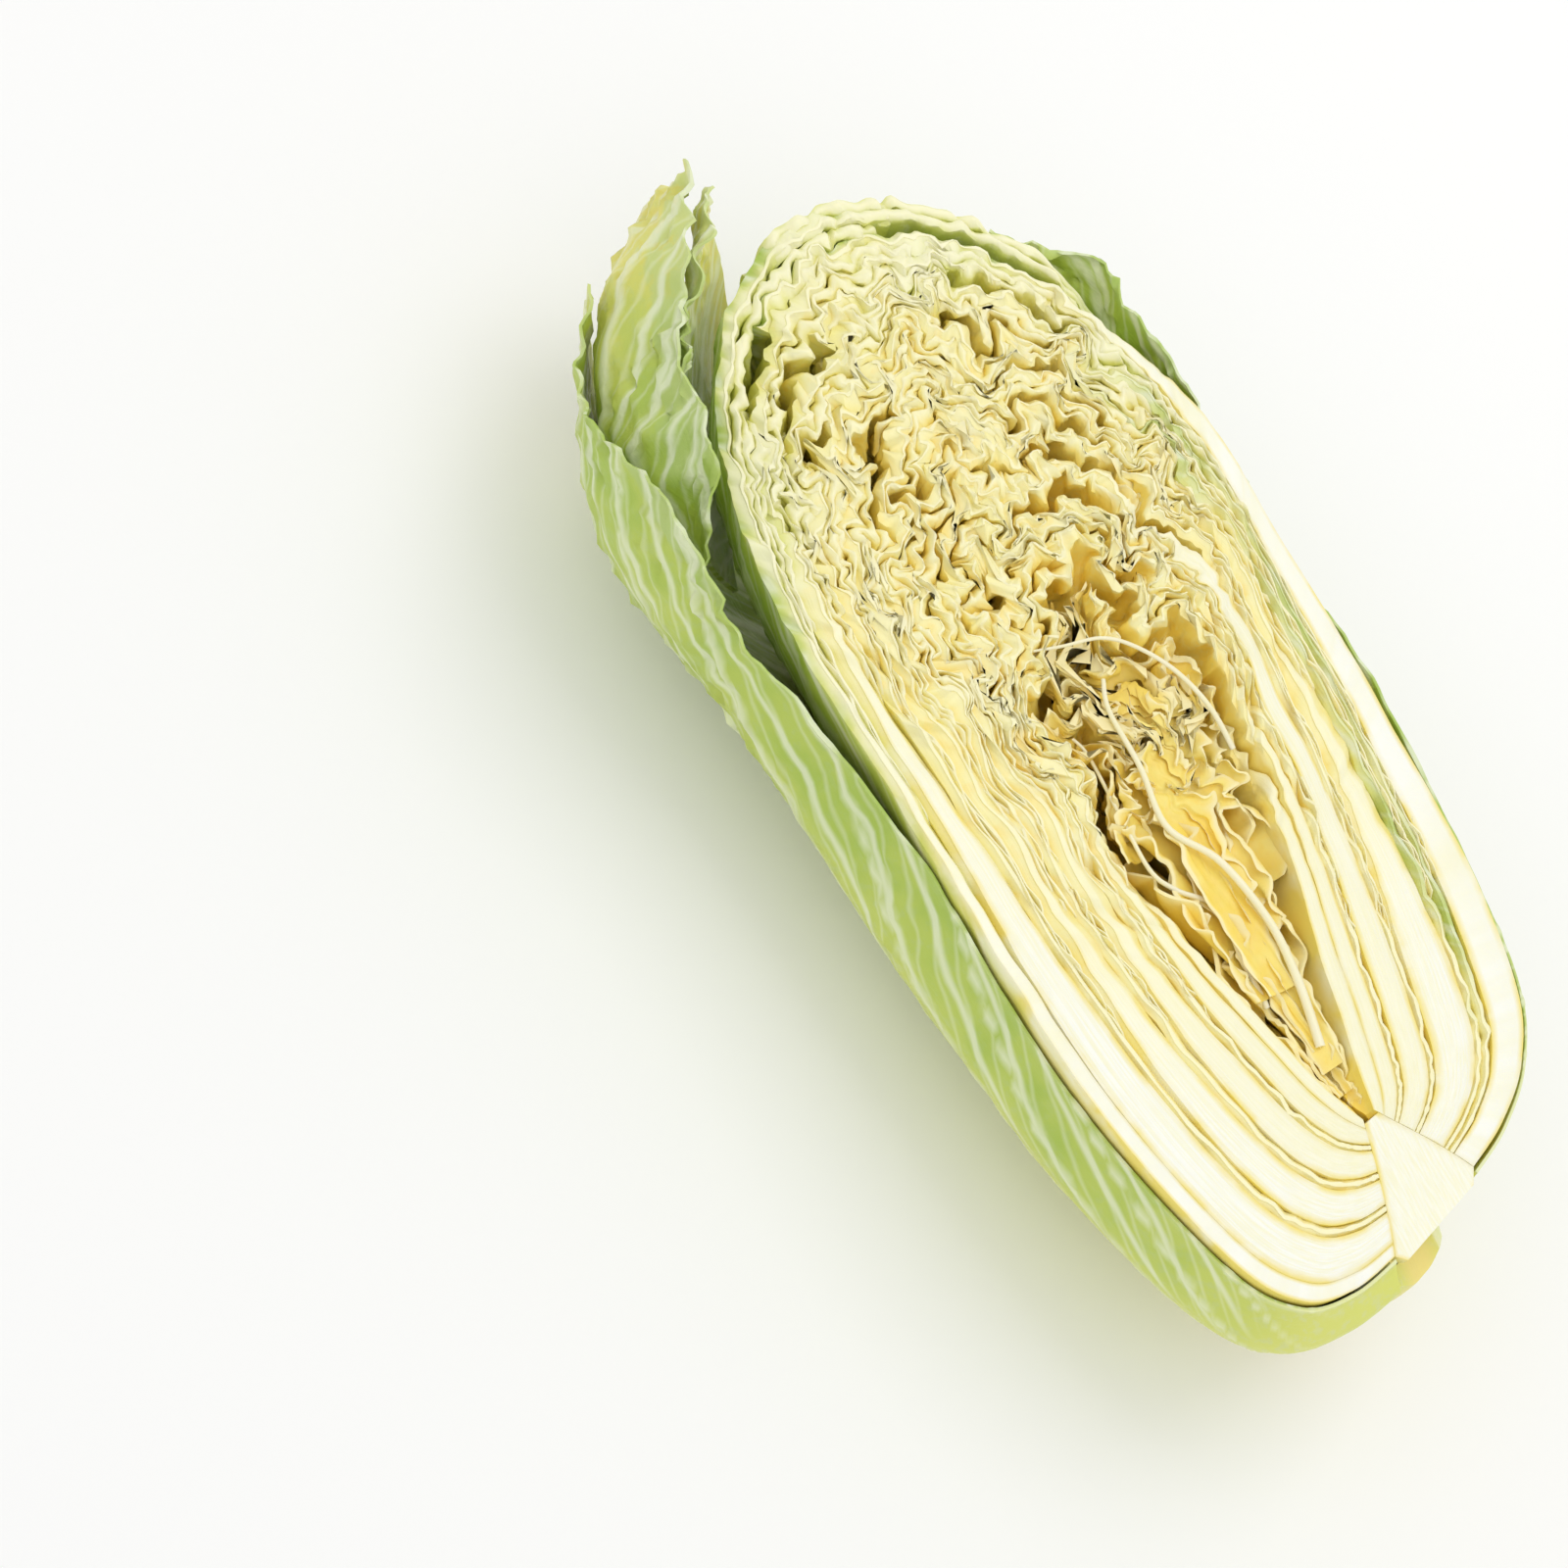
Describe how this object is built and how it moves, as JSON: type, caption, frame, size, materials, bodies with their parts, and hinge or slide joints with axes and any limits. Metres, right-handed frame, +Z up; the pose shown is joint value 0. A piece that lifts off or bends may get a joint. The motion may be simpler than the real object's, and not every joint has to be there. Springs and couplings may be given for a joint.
{
  "type": "half napa cabbage",
  "caption": "Half a head of napa cabbage, cut lengthwise, lying on its back with nested ribbed leaves, a curly heart and loose outer leaves.",
  "frame": {"origin": "middle of the box round the cabbage, at the surface it lies on", "axes": "+X from the root to the crown, +Y to the flank with the flared outer wrapper leaf, +Z up out of the cut face"},
  "size_m": [0.3274, 0.1642, 0.0794],
  "materials": {
    "outer_leaf": "green waxy leaf with white veins, stands in for leaf tissue",
    "head_leaf": "cream rib and pale yellow blade, moist where cut, stands in for leaf tissue",
    "heart_leaf": "golden yellow young leaf, stands in for leaf tissue",
    "core": "cream white cut stem, stands in for stem tissue"
  },
  "bodies": {
    "root": {"left_leaf_1": "head_leaf", "right_leaf_1": "head_leaf", "left_leaf_2": "head_leaf", "right_leaf_2": "head_leaf", "left_leaf_3": "head_leaf", "right_leaf_3": "head_leaf", "left_leaf_4": "head_leaf", "right_leaf_4": "head_leaf", "left_leaf_5": "head_leaf", "right_leaf_5": "head_leaf", "left_leaf_6": "head_leaf", "right_leaf_6": "head_leaf", "left_leaf_7": "head_leaf", "right_leaf_7": "head_leaf", "left_leaf_8": "head_leaf", "right_leaf_8": "head_leaf", "left_leaf_9": "head_leaf", "right_leaf_9": "head_leaf", "heart_leaf_1": "heart_leaf", "heart_leaf_2": "heart_leaf", "heart_leaf_3": "heart_leaf", "heart_leaf_4": "heart_leaf", "heart_leaf_5": "heart_leaf", "wrapper_left_inner": "outer_leaf", "wrapper_right": "outer_leaf", "wrapper_left_outer": "outer_leaf", "stem_core": "core"}
  },
  "joints": []
}
